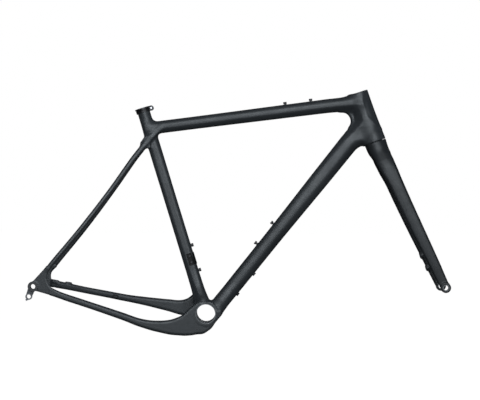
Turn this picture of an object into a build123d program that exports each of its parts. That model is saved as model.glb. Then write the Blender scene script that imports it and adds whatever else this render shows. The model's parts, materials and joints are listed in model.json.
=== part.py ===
from build123d import *

# Gravel bicycle frame and fork: carbon tubes, metal fittings, and a fork that turns in a headset.
# Millimetres. +X points forwards, +Y to the rider's left, +Z up.
# The origin is the centre of the bottom bracket, and the drive side is at -Y.

import os
from math import cos, radians, sin

# ---- driving dimensions -------------------------------------------------------------------------

# Axles, seen from the side
bottom_bracket_drop = 67.0
rear_axle_x = -419.5
front_axle_x = 587.3
rear_hub_spacing = 142.0
front_hub_spacing = 100.0
axle_radius = 6.0

# Head tube and fork
head_angle = 71.0
fork_length = 394.0
fork_offset = 45.0
head_tube_length = 129.0
head_tube_top_radius = 23.5
head_tube_bottom_radius = 27.6
seam_gap = 0.6

# Seat tube
seat_tube_angle = 72.7
seat_tube_foot_x = -2.0
seat_tube_length = 528.0
seat_tube_radius = 15.5
seatpost_radius = 13.6
seatpost_ledge = 328.0
seat_lower_bore_radius = 12.6

# Bottom bracket
shell_width = 86.5
shell_radius = 30.5
sleeve_radius = 25.0
bottom_bracket_radius = 23.0

# Top tube and down tube, as centre lines through a point at an angle
top_tube_angle = 7.45
top_tube_start = (-143.0, 455.5)
down_tube_angle = 51.45
down_tube_start = (58.2, 53.5)
front_corner = (332.0, 474.5)
front_corner_radius = 24.0
front_corner_width = 26.0

# Seatstays
seatstay_angle = 52.1
seatstay_start = (-370.7, 128.5)

# Carbon walls
tube_wall = 1.8
stay_wall = 1.5
corner = 0.42

# Headset bearings
upper_bearing_radius = 20.9
lower_bearing_radius = 23.5
upper_pitch_radius = 18.0
lower_pitch_radius = 20.0
bearing_height = 7.0
ball_radius = 1.5875
groove_radius = 1.64
steerer_radius = 14.3
steerer_base_radius = 16.5
steerer_bore_radius = 11.8

# Threaded fittings
bolt_head_radius = 4.25
bolt_head_height = 5.0
bolt_shank_radius = 2.4
bolt_length = 14.0
top_tube_standoff = 0.9
down_tube_standoff = 2.1
seat_tube_standoff = 0.6
insert_radius = 3.5
insert_thread_radius = 2.5
insert_depth = 11.0
insert_flange_radius = 4.6
insert_flange_height = 0.8
bottle_spacing = 64.0
caliper_spacing = 34.0
caliper_bush_radius = 4.0
caliper_hole_radius = 2.6

# Dropouts and fork ends
dropout_thickness = 9.0
dropout_bush_radius = 8.5
hanger_thickness = 5.0
hanger_nut_radius = 12.5
hanger_nut_flange = 3.0
hanger_hole_x = -429.2
hanger_hole_z = 42.8
hanger_hole_radius = 5.0
hanger_ring_radius = 8.1
fork_end_radius = 12.5
fork_end_thickness = 11.0

# ---- frames of reference ------------------------------------------------------------------------

SIDE = Vector(0, 1, 0)
steering_axis = Vector(-cos(radians(head_angle)), 0, sin(radians(head_angle)))
steering_forward = Vector(sin(radians(head_angle)), 0, cos(radians(head_angle)))
rear_axle = Vector(rear_axle_x, 0, bottom_bracket_drop)
front_axle = Vector(front_axle_x, 0, bottom_bracket_drop)
crown_seat = front_axle + steering_axis * fork_length - steering_forward * fork_offset


def along_plane(x, z, angle):
    """The plane across a tube that starts at x, z and rises at an angle: its x runs sideways, its y upwards."""
    direction = (cos(radians(angle)), 0, sin(radians(angle)))
    return Plane(origin=(x, 0, z), x_dir=SIDE, z_dir=direction)


steering_up = Plane(origin=crown_seat, x_dir=steering_forward, z_dir=steering_axis)
steering_down = Plane(origin=crown_seat, x_dir=SIDE, z_dir=steering_axis * -1)
steering_side = Plane(origin=crown_seat, x_dir=steering_forward, z_dir=SIDE * -1)
steering_front = Plane(origin=crown_seat, x_dir=SIDE, z_dir=steering_forward)
bottom_bracket_plane = Plane(origin=(0, 0, 0), x_dir=(1, 0, 0), z_dir=SIDE)
middle_plane = Plane(origin=(0, 0, 0), x_dir=(1, 0, 0), z_dir=SIDE * -1)
seat_plane = along_plane(seat_tube_foot_x, 0, 180 - seat_tube_angle)
top_plane = along_plane(*top_tube_start, top_tube_angle)
down_plane = along_plane(*down_tube_start, down_tube_angle)
seatstay_plane = along_plane(*seatstay_start, seatstay_angle)
rearward_plane = Plane(origin=(0, 0, 0), x_dir=SIDE, z_dir=(1, 0, 0))


def rounded_loft(base, stations, inset=0.0, mode=Mode.ADD):
    """A tube through rounded sections. A station is its height on the base plane, then the section's
    sideways place, its place in depth, its width and its depth."""
    sections = []
    for height, side, rise, width, depth in stations:
        radius = corner * min(width, depth) - inset
        with BuildSketch(base.offset(height)) as section:
            with Locations((side, rise)):
                RectangleRounded(width - 2 * inset, depth - 2 * inset, radius)
        sections.append(section.sketch)
    loft(sections, mode=mode)


def turned(plane, bottom, top, radius, mode=Mode.ADD):
    """A round plug about a plane's normal, between two heights."""
    with BuildSketch(plane.offset(bottom)) as disc:
        Circle(radius)
    extrude(disc.sketch, amount=top - bottom, mode=mode)


def ring(plane, bottom, top, outer, inner, mode=Mode.ADD):
    """A plain ring about a plane's normal, between two heights."""
    with BuildSketch(plane.offset(bottom)) as annulus:
        Circle(outer)
        Circle(inner, mode=Mode.SUBTRACT)
    extrude(annulus.sketch, amount=top - bottom, mode=mode)


# ---- places of the bolted fittings --------------------------------------------------------------


def surface_planes(base, heights, rise):
    """Planes on the upper (rise above zero) or lower face of a tube, with normals that point out."""
    planes = []
    outward = base.y_dir if rise > 0 else base.y_dir * -1
    for height in heights:
        origin = base.origin + base.z_dir * height + base.y_dir * rise
        planes.append(Plane(origin=origin, x_dir=SIDE, z_dir=outward))
    return planes


def pair(first):
    """The heights of two fittings a bottle spacing apart."""
    return (first, first + bottle_spacing)


top_tube_fittings = surface_planes(top_plane, pair(341.5), 16.4)
down_tube_fittings = surface_planes(down_plane, pair(134.0), 20.0)
underside_fittings = surface_planes(down_plane, pair(7.0), -19.2)
seat_tube_fittings = surface_planes(seat_plane, pair(106.0), -15.2)

# The front derailleur cover and its two screws, on the seat tube
cover_bottom = 123.0
cover_top = 153.0
cover_thickness = 1.6
cover_screw_radius = 1.4
cover_screw_head_radius = 2.4
cover_screw_length = 7.0
cover_screw_reach = 5.0
cover_side = 17.2 + cover_thickness


def cover_screw_plane(height):
    """A plane on the cover's drive-side face, at a height up the seat tube."""
    origin = seat_plane.origin + seat_plane.z_dir * height - seat_plane.y_dir * cover_screw_reach
    return Plane(origin=origin - SIDE * cover_side, x_dir=(1, 0, 0), z_dir=SIDE * -1)


cover_screw_planes = [cover_screw_plane(height) for height in (cover_bottom + 7.0, cover_top - 7.0)]

# ---- frame: filled forms, each used to trim the tubes that meet it -----------------------------

head_stations = [
    (seam_gap / 2, head_tube_bottom_radius),
    (30.0, 26.0),
    (75.0, 24.1),
    (head_tube_length, head_tube_top_radius),
]

with BuildPart() as head_form:
    with BuildSketch(steering_side):
        with BuildLine():
            Polyline(
                (0, head_tube_length),
                (0, seam_gap / 2),
                (head_tube_bottom_radius, seam_gap / 2),
            )
            Spline([(radius, height) for height, radius in head_stations])
            Line((head_tube_top_radius, head_tube_length), (0, head_tube_length))
        make_face()
    revolve(axis=Axis(crown_seat, steering_axis))

seat_stations = [
    (15.0, 0, 0, 46.0, 40.0),
    (60.0, 0, 0, 38.0, 31.0),
    (120.0, 0, 0, 34.0, 30.4),
    (300.0, 0, 0, 32.0, 30.4),
    (430.0, 0, 0, 32.0, 31.0),
]

with BuildPart() as seat_form:
    rounded_loft(seat_plane, seat_stations)
    turned(seat_plane, seat_stations[-1][0], seat_tube_length, seat_tube_radius)

with BuildPart() as shell_form:
    turned(bottom_bracket_plane, -shell_width / 2, shell_width / 2, shell_radius)

down_stations = [
    (-60.0, 0, 2, 56.0, 34.0),
    (0.0, 0, 0, 50.0, 38.0),
    (150.0, 0, 0, 46.0, 39.6),
    (376.0, 0, 0, 42.0, 45.8),
    (430.0, 0, -2, 42.0, 51.0),
    (497.0, 0, -9, 42.0, 66.0),
]

with BuildPart() as down_form:
    rounded_loft(down_plane, down_stations)
    # the swept space of the fork crown, just under the head tube
    turned(steering_up, -30.0, seam_gap / 2, head_tube_bottom_radius + 2.0, mode=Mode.SUBTRACT)

top_stations = [
    (-8.0, 0, 0, 31.0, 31.0),
    (80.0, 0, 0, 36.0, 30.5),
    (300.0, 0, 0, 38.0, 32.4),
    (440.0, 0, 0, 40.0, 34.0),
    (530.0, 0, -2.5, 42.0, 41.0),
]

with BuildPart() as top_form:
    rounded_loft(top_plane, top_stations)

# ---- frame: carbon pieces -----------------------------------------------------------------------

with BuildPart() as head_tube:
    add(head_form.part)
    turned(steering_up, 0, head_tube_length + 1, steerer_radius + 3.2, mode=Mode.SUBTRACT)
    # bearing seats
    lower_seat_top = 2.0 + bearing_height
    upper_seat_bottom = head_tube_length - 1.2 - bearing_height
    turned(steering_up, 0, lower_seat_top, lower_bearing_radius, mode=Mode.SUBTRACT)
    turned(steering_up, upper_seat_bottom, head_tube_length + 1, upper_bearing_radius, mode=Mode.SUBTRACT)

with BuildPart() as bottom_bracket_shell:
    add(shell_form.part)
    turned(bottom_bracket_plane, -shell_width / 2, shell_width / 2, sleeve_radius, mode=Mode.SUBTRACT)

with BuildPart() as bottom_bracket_sleeve:
    ring(bottom_bracket_plane, -shell_width / 2, shell_width / 2, sleeve_radius, bottom_bracket_radius)


def fitting_holes(planes):
    """Holes through a tube's wall for its threaded inserts, faced off flat for their flanges."""
    for plane in planes:
        turned(plane, -insert_depth - 1, 6.0, insert_radius, mode=Mode.SUBTRACT)
        turned(plane, 0.0, 6.0, insert_flange_radius, mode=Mode.SUBTRACT)


with BuildPart() as seat_tube:
    add(seat_form.part)
    rounded_loft(seat_plane, seat_stations[:3], inset=2.2, mode=Mode.SUBTRACT)
    turned(seat_plane, 40.0, seat_tube_length, seat_lower_bore_radius, mode=Mode.SUBTRACT)
    # the seatpost slides down to a ledge
    turned(seat_plane, seatpost_ledge, seat_tube_length, seatpost_radius, mode=Mode.SUBTRACT)
    # the slot that lets the collar close the tube on the seatpost
    slot_width = 1.6
    slot_length = 32.0
    with BuildSketch(seat_plane.offset(seat_tube_length - slot_length)):
        with Locations((0, seat_tube_radius)):
            Rectangle(slot_width, 2 * (seat_tube_radius - seatpost_radius) + 4)
    extrude(amount=slot_length, mode=Mode.SUBTRACT)
    fitting_holes(seat_tube_fittings)
    for screw in cover_screw_planes:
        turned(screw, -cover_screw_length, 0.0, cover_screw_radius, mode=Mode.SUBTRACT)
    add(shell_form.part, mode=Mode.SUBTRACT)

with BuildPart() as down_tube:
    add(down_form.part)
    # the filled corner between the top tube, the head tube and the down tube
    with BuildSketch(middle_plane):
        with BuildLine():
            Polyline(
                (front_corner[0] + 20, front_corner[1] - 34.5),
                (front_corner[0] + 68, front_corner[1] - 34.5),
                (front_corner[0] + 68, front_corner[1] + 33.5),
                (front_corner[0] + 2, front_corner[1] + 25.5),
                (front_corner[0] + 20, front_corner[1] - 34.5),
            )
        make_face()
        with Locations(front_corner):
            Circle(front_corner_radius, mode=Mode.SUBTRACT)
    extrude(amount=front_corner_width / 2, both=True)
    add(head_form.part, mode=Mode.SUBTRACT)
    add(top_form.part, mode=Mode.SUBTRACT)
    rounded_loft(down_plane, down_stations, inset=tube_wall, mode=Mode.SUBTRACT)
    fitting_holes(down_tube_fittings)
    fitting_holes(underside_fittings)
    add(seat_form.part, mode=Mode.SUBTRACT)
    add(shell_form.part, mode=Mode.SUBTRACT)

with BuildPart() as top_tube:
    add(top_form.part)
    rounded_loft(top_plane, top_stations, inset=tube_wall, mode=Mode.SUBTRACT)
    fitting_holes(top_tube_fittings)
    add(head_form.part, mode=Mode.SUBTRACT)
    add(seat_form.part, mode=Mode.SUBTRACT)


# ---- frame: stays and dropouts ------------------------------------------------------------------


def mirrored(stations, side):
    """The same stations on the side given by its sign."""
    return [(height, side * across, rise, width, depth) for height, across, rise, width, depth in stations]


drive_chainstay_stations = [
    (8.0, -35.0, -11.5, 14.0, 43.0),
    (-15.0, -35.0, -8.5, 15.0, 77.0),
    (-35.0, -35.5, -18.0, 15.0, 71.0),
    (-60.0, -37.0, -29.7, 16.0, 50.0),
    (-90.0, -39.0, -33.4, 17.0, 36.0),
    (-125.0, -41.0, -30.4, 17.0, 26.5),
    (-160.0, -43.0, -22.7, 17.0, 21.0),
    (-200.0, -47.5, -8.0, 17.0, 19.0),
    (-250.0, -54.5, 9.5, 16.0, 17.8),
    (-300.0, -62.0, 26.6, 15.0, 17.2),
    (-350.0, -70.5, 43.7, 13.0, 17.2),
    (-378.0, -75.5, 55.2, 9.0, 20.0),
]

brake_chainstay_stations = [
    (8.0, 35.0, 3.0, 14.0, 36.0),
    (-12.0, 35.0, 7.0, 15.0, 54.0),
    (-35.0, 35.0, 14.0, 15.0, 58.0),
    (-60.0, 37.0, 10.2, 16.0, 38.0),
    (-95.0, 39.0, 15.7, 17.0, 29.6),
    (-125.0, 41.0, 21.0, 17.0, 25.4),
    (-150.0, 42.5, 25.2, 17.0, 21.8),
    (-200.0, 47.5, 33.2, 17.0, 17.6),
    (-250.0, 54.5, 42.2, 16.0, 16.8),
    (-300.0, 61.0, 51.0, 15.0, 16.4),
    (-350.0, 69.5, 60.5, 14.0, 17.4),
    (-391.0, 73.5, 68.0, 13.0, 19.5),
]

seatstay_stations = [
    (-20.0, 75.5, 0.0, 9.0, 11.0),
    (0.0, 74.0, -0.2, 11.0, 11.0),
    (50.0, 67.5, -1.6, 11.5, 11.0),
    (100.0, 61.0, -2.6, 12.0, 11.0),
    (200.0, 46.0, -1.2, 12.5, 11.0),
    (280.0, 33.5, 2.6, 12.5, 12.0),
    (325.0, 26.0, 5.0, 12.0, 13.0),
    (375.0, 19.5, 4.6, 11.0, 14.0),
    (405.0, 17.0, 1.0, 9.0, 14.0),
]

dropout_inner = rear_hub_spacing / 2
dropout_outer = dropout_inner + dropout_thickness
seatstay_end = seatstay_plane.origin + seatstay_plane.z_dir * seatstay_stations[0][0]
half_stay = seatstay_stations[0][4] / 2
stay_end_front = seatstay_end - seatstay_plane.y_dir * half_stay
stay_end_back = seatstay_end + seatstay_plane.y_dir * half_stay


def dropout_plate(side, chainstay_x, chainstay_bottom, chainstay_top, throat_x):
    """A dropout plate between the ends of the chainstay and the seatstay, with the axle's bush hole."""
    throat_z = (chainstay_top + stay_end_front.Z) / 2
    with BuildSketch(middle_plane.offset(-side * dropout_inner)) as outline:
        with BuildLine():
            Polyline(
                (stay_end_front.X, stay_end_front.Z),
                (stay_end_back.X, stay_end_back.Z),
                (rear_axle_x - 6, bottom_bracket_drop + 7),
                (rear_axle_x + 6, bottom_bracket_drop - 11),
                (chainstay_x, chainstay_bottom),
                (chainstay_x, chainstay_top),
            )
            ThreePointArc(
                (chainstay_x, chainstay_top),
                (throat_x, throat_z),
                (stay_end_front.X, stay_end_front.Z),
            )
        make_face()
        with Locations((rear_axle_x, bottom_bracket_drop)):
            Circle(hanger_nut_radius - 0.7)
            Circle(dropout_bush_radius, mode=Mode.SUBTRACT)
    extrude(outline.sketch, amount=-side * dropout_thickness)


with BuildPart() as dropout_drive:
    dropout_plate(-1, -378.0, 46.0, 66.0, -387.0)

with BuildPart() as dropout_brake:
    dropout_plate(1, -391.0, 59.5, 77.0, -391.5)

with BuildPart() as drive_chainstay_form:
    rounded_loft(rearward_plane, drive_chainstay_stations)

with BuildPart() as brake_chainstay_form:
    rounded_loft(rearward_plane, brake_chainstay_stations)


def chainstay_void(stations, front, back):
    """The hollow inside a chainstay, between two places along X."""
    rounded_loft(rearward_plane, stations, inset=stay_wall)
    split(bisect_by=rearward_plane.offset(front), keep=Keep.BOTTOM)
    split(bisect_by=rearward_plane.offset(back), keep=Keep.TOP)


with BuildPart() as drive_chainstay_void:
    chainstay_void(drive_chainstay_stations, -45.0, -350.0)

with BuildPart() as brake_chainstay_void:
    chainstay_void(brake_chainstay_stations, -45.0, -325.0)

with BuildPart() as chainstay_drive:
    add(drive_chainstay_form.part)
    add(drive_chainstay_void.part, mode=Mode.SUBTRACT)
    add(shell_form.part, mode=Mode.SUBTRACT)
    add(seat_form.part, mode=Mode.SUBTRACT)
    add(down_form.part, mode=Mode.SUBTRACT)

# Flat-mount pads: two raised feet on the brake-side chainstay, square to the caliper's bolts
pad_slope = 8.9
pad_width = 14.0
pad_length = 16.0
pad_depth = 19.0
pad_side = 71.5
pad_direction = (sin(radians(pad_slope)), 0, cos(radians(pad_slope)))
pad_plane = Plane(origin=(-363.5, pad_side, 74.2), x_dir=SIDE, z_dir=pad_direction)
pad_places = [(0, -caliper_spacing / 2), (0, caliper_spacing / 2)]

# Hose exit on the inner face of the brake-side chainstay
hose_exit_x = -227.5
hose_exit_z = 37.4
hose_exit_inner = 42.6
hose_exit_slope = -10.0
hose_plane = Plane(origin=(hose_exit_x, hose_exit_inner, hose_exit_z), x_dir=(1, 0, 0), z_dir=(0, -1, 0))

with BuildPart() as chainstay_brake:
    add(brake_chainstay_form.part)
    with BuildSketch(pad_plane.offset(-6.0)):
        with Locations(*pad_places):
            RectangleRounded(pad_width, pad_length, 3.0)
    extrude(amount=6.0)
    add(brake_chainstay_void.part, mode=Mode.SUBTRACT)
    with BuildSketch(pad_plane.offset(1.0)):
        with Locations(*pad_places):
            Circle(caliper_bush_radius)
    extrude(amount=-pad_depth - 8.0, mode=Mode.SUBTRACT)
    with BuildSketch(hose_plane.offset(2.0)):
        SlotOverall(13.0, 6.6, rotation=hose_exit_slope)
    extrude(amount=-6.0, mode=Mode.SUBTRACT)
    add(shell_form.part, mode=Mode.SUBTRACT)
    add(seat_form.part, mode=Mode.SUBTRACT)
    add(down_form.part, mode=Mode.SUBTRACT)
    add(dropout_brake.part, mode=Mode.SUBTRACT)

with BuildPart() as rear_caliper_inserts:
    with BuildSketch(pad_plane):
        with Locations(*pad_places):
            Circle(caliper_bush_radius)
            Circle(caliper_hole_radius, mode=Mode.SUBTRACT)
    extrude(amount=-pad_depth)

with BuildPart() as hose_grommet:
    with BuildSketch(hose_plane.offset(-2.4)):
        SlotOverall(13.0, 6.6, rotation=hose_exit_slope)
    extrude(amount=3.4)
    with BuildSketch(hose_plane.offset(1.0)):
        SlotOverall(15.0, 8.6, rotation=hose_exit_slope)
    extrude(amount=0.8)
    with BuildSketch(hose_plane.offset(2.0)):
        SlotOverall(10.5, 4.6, rotation=hose_exit_slope)
    extrude(amount=-6.0, mode=Mode.SUBTRACT)
    add(chainstay_brake.part, mode=Mode.SUBTRACT)


def seatstay(side):
    """One hollow seatstay, trimmed against the seat tube, the top tube and its dropout."""
    stations = mirrored(seatstay_stations, side)
    rounded_loft(seatstay_plane, stations)
    rounded_loft(seatstay_plane, stations[1:-1], inset=stay_wall, mode=Mode.SUBTRACT)
    add(seat_form.part, mode=Mode.SUBTRACT)
    add(top_form.part, mode=Mode.SUBTRACT)


with BuildPart() as seatstay_drive:
    seatstay(-1)

with BuildPart() as seatstay_brake:
    seatstay(1)

with BuildPart() as seatstay_bridge:
    with BuildSketch(middle_plane):
        with BuildLine():
            Polyline(
                (-164, 407),
                (-138, 407),
                (-142, 440),
                (-154, 434),
                (-164, 420),
                (-164, 407),
            )
        make_face()
    extrude(amount=21.0, both=True)
    add(seat_form.part, mode=Mode.SUBTRACT)
    for side in (-1, 1):
        rounded_loft(seatstay_plane, mirrored(seatstay_stations, side), mode=Mode.SUBTRACT)

# ---- frame: metal and rubber fittings -----------------------------------------------------------

hanger_inner = dropout_outer
hanger_outer = hanger_inner + hanger_thickness
ring_thickness = 8.0


def side_plane(across):
    """The plane of constant Y, with x forwards and z upwards."""
    return middle_plane.offset(-across)


with BuildPart() as derailleur_hanger:
    with BuildSketch(side_plane(-hanger_inner)):
        with BuildLine():
            Polyline(
                (rear_axle_x - 11.4, bottom_bracket_drop - 3),
                (hanger_hole_x - hanger_ring_radius + 0.8, hanger_hole_z + 2),
                (hanger_hole_x + hanger_ring_radius - 0.2, hanger_hole_z + 1),
                (rear_axle_x + 4, bottom_bracket_drop - 11),
                (rear_axle_x - 11.4, bottom_bracket_drop - 3),
            )
        make_face()
        with Locations((rear_axle_x, bottom_bracket_drop)):
            Circle(hanger_nut_radius - 0.8)
    extrude(amount=hanger_thickness)
    with BuildSketch(side_plane(-hanger_inner)):
        with Locations((hanger_hole_x, hanger_hole_z)):
            Circle(hanger_ring_radius)
        # the stop for the derailleur's tension screw
        with Locations((hanger_hole_x - 4.6, hanger_hole_z - 7.6)):
            Rectangle(5.6, 4.6, rotation=20)
    extrude(amount=ring_thickness)
    with BuildSketch(side_plane(-hanger_inner)):
        with Locations((hanger_hole_x, hanger_hole_z)):
            Circle(hanger_hole_radius)
        with Locations((rear_axle_x, bottom_bracket_drop)):
            Circle(dropout_bush_radius)
    extrude(amount=ring_thickness, mode=Mode.SUBTRACT)

drive_axle_plane = Plane(origin=rear_axle, x_dir=(1, 0, 0), z_dir=SIDE * -1)
brake_axle_plane = Plane(origin=rear_axle, x_dir=(1, 0, 0), z_dir=SIDE)

with BuildPart() as hanger_nut:
    turned(drive_axle_plane, dropout_inner, hanger_outer, dropout_bush_radius)
    turned(drive_axle_plane, hanger_outer, hanger_outer + hanger_nut_flange, hanger_nut_radius)
    turned(drive_axle_plane, dropout_inner, hanger_outer + hanger_nut_flange, axle_radius, mode=Mode.SUBTRACT)

with BuildPart() as rear_axle_insert:
    turned(brake_axle_plane, dropout_inner, dropout_outer, dropout_bush_radius)
    turned(brake_axle_plane, dropout_outer, dropout_outer + 1.2, dropout_bush_radius + 1.8)
    turned(brake_axle_plane, dropout_inner, dropout_outer + 1.2, axle_radius, mode=Mode.SUBTRACT)

# Seatpost collar: its ears stand in front of the seat tube, and its bolt lies along Y
collar_height = 11.7
collar_top = 530.0
collar_bottom = collar_top - collar_height
collar_radius = 18.2
ear_radius = 6.2
ear_reach = 20.7
ear_height = 524.0
ear_inner = 1.5
ear_outer = 9.0
clamp_nut_radius = 3.6
clamp_bolt_radius = 2.45
ear_centre = seat_plane.origin + seat_plane.z_dir * ear_height - seat_plane.y_dir * ear_reach
ear_drive_plane = Plane(origin=ear_centre, x_dir=(1, 0, 0), z_dir=SIDE * -1)
ear_brake_plane = Plane(origin=ear_centre, x_dir=(1, 0, 0), z_dir=SIDE)

with BuildPart() as seat_clamp:
    ring(seat_plane, collar_bottom, collar_top, collar_radius, seat_tube_radius)
    ring(seat_plane, collar_top - 2.4, collar_top, collar_radius + 1.3, seat_tube_radius)
    ring(seat_plane, seat_tube_length, collar_top, collar_radius, seatpost_radius + 0.4)
    turned(ear_drive_plane, -ear_outer, ear_outer, ear_radius)
    with BuildSketch(seat_plane.offset(collar_bottom - 4)):
        with Locations((0, -ear_reach)):
            Rectangle(2 * ear_inner, 2 * ear_reach - 2)
    extrude(amount=collar_height + 8, mode=Mode.SUBTRACT)
    turned(seat_plane, collar_bottom - 4, seat_tube_length, seat_tube_radius, mode=Mode.SUBTRACT)
    turned(seat_plane, collar_bottom - 4, collar_top + 2, seatpost_radius + 0.4, mode=Mode.SUBTRACT)
    turned(ear_drive_plane, 0, ear_outer, clamp_nut_radius, mode=Mode.SUBTRACT)
    turned(ear_brake_plane, 0, ear_outer, clamp_bolt_radius, mode=Mode.SUBTRACT)

with BuildPart() as seat_clamp_nut:
    ring(ear_drive_plane, ear_inner, ear_outer, clamp_nut_radius, clamp_bolt_radius)

with BuildPart() as seat_clamp_bolt:
    turned(ear_drive_plane, -ear_outer, ear_outer - 0.4, clamp_bolt_radius)
    turned(ear_brake_plane, ear_outer, ear_outer + 4.0, bolt_head_radius)
    with BuildSketch(ear_brake_plane.offset(ear_outer + 4.0)):
        RegularPolygon(2.0, 6, major_radius=False)
    extrude(amount=-2.4, mode=Mode.SUBTRACT)
    clamp_head_edge = seat_clamp_bolt.faces().sort_by(Axis.Y)[-1].outer_wire().edges()
    chamfer(clamp_head_edge, 0.4)


def threaded_insert(plane):
    """A flanged threaded insert sunk in a tube's wall."""
    turned(plane, -insert_depth, 0.0, insert_radius)
    turned(plane, 0.0, insert_flange_height, insert_flange_radius)
    turned(plane, -insert_depth, insert_flange_height, insert_thread_radius, mode=Mode.SUBTRACT)


def socket_bolt(plane, standoff):
    """A socket-head bolt that stands off its insert, with a six-sided socket in its head."""
    head_bottom = insert_flange_height + standoff
    head_top = head_bottom + bolt_head_height
    turned(plane, head_top - bolt_length, head_bottom, bolt_shank_radius)
    turned(plane, head_bottom, head_top, bolt_head_radius)
    with BuildSketch(plane.offset(head_top)) as socket:
        RegularPolygon(2.0, 6, major_radius=False)
    extrude(socket.sketch, amount=-2.6, mode=Mode.SUBTRACT)


def low_bolt(plane):
    """A low-head bolt screwed right down on its insert."""
    head_top = insert_flange_height + 2.8
    turned(plane, head_top - bolt_length + 3, insert_flange_height, bolt_shank_radius)
    turned(plane, insert_flange_height, head_top, bolt_head_radius + 0.3)
    with BuildSketch(plane.offset(head_top)) as socket:
        RegularPolygon(1.5, 6, major_radius=False)
    extrude(socket.sketch, amount=-1.6, mode=Mode.SUBTRACT)


with BuildPart() as top_tube_inserts:
    for fitting in top_tube_fittings:
        threaded_insert(fitting)

with BuildPart() as top_tube_bolts:
    for fitting in top_tube_fittings:
        socket_bolt(fitting, top_tube_standoff)

with BuildPart() as down_tube_inserts:
    for fitting in down_tube_fittings:
        threaded_insert(fitting)

with BuildPart() as down_tube_bolts:
    for fitting in down_tube_fittings:
        socket_bolt(fitting, down_tube_standoff)

with BuildPart() as underside_inserts:
    for fitting in underside_fittings:
        threaded_insert(fitting)

with BuildPart() as underside_bolts:
    for fitting in underside_fittings:
        low_bolt(fitting)

with BuildPart() as seat_tube_inserts:
    for fitting in seat_tube_fittings:
        threaded_insert(fitting)

with BuildPart() as seat_tube_bolts:
    for fitting in seat_tube_fittings:
        socket_bolt(fitting, seat_tube_standoff)

# Front derailleur cover: a thin shell on the seat tube's front and drive side, with two small screws
with BuildPart() as front_derailleur_cover:
    with BuildSketch(seat_plane.offset(cover_bottom)):
        with Locations((-7.0, -8.4)):
            Rectangle(26.0, 21.4)
    extrude(amount=cover_top - cover_bottom)
    rounded_loft(seat_plane, seat_stations[1:4], inset=-cover_thickness, mode=Mode.INTERSECT)
    add(seat_form.part, mode=Mode.SUBTRACT)
    for screw in cover_screw_planes:
        turned(screw, -cover_screw_length, 2.0, cover_screw_radius, mode=Mode.SUBTRACT)

with BuildPart() as cover_screws:
    for screw in cover_screw_planes:
        turned(screw, -cover_screw_length, 0.6, cover_screw_radius)
        turned(screw, -0.1, 0.9, cover_screw_head_radius)
    add(front_derailleur_cover.part, mode=Mode.SUBTRACT)

# ---- headset ------------------------------------------------------------------------------------

lower_bearing_bottom = 2.0
lower_bearing_top = lower_bearing_bottom + bearing_height
upper_bearing_bottom = head_tube_length - 1.2 - bearing_height
upper_bearing_top = upper_bearing_bottom + bearing_height
race_thickness = 2.0
seal_thickness = 0.5
seal_clearance = 0.1
cage_half_width = 0.5
cage_height = 4.6
balls_per_bearing = 22


def groove(middle, pitch_radius):
    """The round groove that the balls run in, cut from a race."""
    with BuildSketch(steering_side) as groove_section:
        with Locations((pitch_radius, middle)):
            Circle(groove_radius)
    revolve(groove_section.sketch, axis=Axis(crown_seat, steering_axis), mode=Mode.SUBTRACT)


def outer_race(bottom, outer_radius, pitch_radius):
    """The race held in the head tube."""
    ring(steering_up, bottom, bottom + bearing_height, outer_radius, outer_radius - race_thickness)
    groove(bottom + bearing_height / 2, pitch_radius)


def inner_race(bottom, pitch_radius, inner_radius):
    """The race that turns with the steerer tube."""
    ring(steering_up, bottom, bottom + bearing_height, inner_radius + race_thickness, inner_radius)
    groove(bottom + bearing_height / 2, pitch_radius)


def ball_places(pitch_radius):
    """The places of one bearing's balls round the steering axis."""
    return PolarLocations(pitch_radius, balls_per_bearing)


with BuildPart() as upper_bearing_outer_race:
    outer_race(upper_bearing_bottom, upper_bearing_radius, upper_pitch_radius)

with BuildPart() as lower_bearing_outer_race:
    outer_race(lower_bearing_bottom, lower_bearing_radius, lower_pitch_radius)

upper_inner_radius = 2 * upper_pitch_radius - upper_bearing_radius
lower_inner_radius = 2 * lower_pitch_radius - lower_bearing_radius

with BuildPart() as upper_bearing_inner_race:
    inner_race(upper_bearing_bottom, upper_pitch_radius, upper_inner_radius)

with BuildPart() as lower_bearing_inner_race:
    inner_race(lower_bearing_bottom, lower_pitch_radius, lower_inner_radius)

upper_ball_plane = steering_up.offset(upper_bearing_bottom + bearing_height / 2)
lower_ball_plane = steering_up.offset(lower_bearing_bottom + bearing_height / 2)

with BuildPart(upper_ball_plane) as upper_bearing_balls:
    with ball_places(upper_pitch_radius):
        Sphere(ball_radius)

with BuildPart(lower_ball_plane) as lower_bearing_balls:
    with ball_places(lower_pitch_radius):
        Sphere(ball_radius)

with BuildPart(upper_ball_plane) as upper_bearing_cage:
    Cylinder(upper_pitch_radius + cage_half_width, cage_height)
    Cylinder(upper_pitch_radius - cage_half_width, cage_height, mode=Mode.SUBTRACT)
    with ball_places(upper_pitch_radius):
        Cylinder(groove_radius, 4 * cage_half_width, rotation=(0, 90, 0), mode=Mode.SUBTRACT)

with BuildPart(lower_ball_plane) as lower_bearing_cage:
    Cylinder(lower_pitch_radius + cage_half_width, cage_height)
    Cylinder(lower_pitch_radius - cage_half_width, cage_height, mode=Mode.SUBTRACT)
    with ball_places(lower_pitch_radius):
        Cylinder(groove_radius, 4 * cage_half_width, rotation=(0, 90, 0), mode=Mode.SUBTRACT)

upper_seal_outer = upper_bearing_radius - race_thickness
upper_seal_inner = upper_inner_radius + race_thickness + seal_clearance
lower_seal_outer = lower_bearing_radius - race_thickness
lower_seal_inner = lower_inner_radius + race_thickness + seal_clearance

with BuildPart() as upper_bearing_seal:
    ring(steering_up, upper_bearing_top - 2 * seal_thickness, upper_bearing_top - seal_thickness,
         upper_seal_outer, upper_seal_inner)

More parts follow.
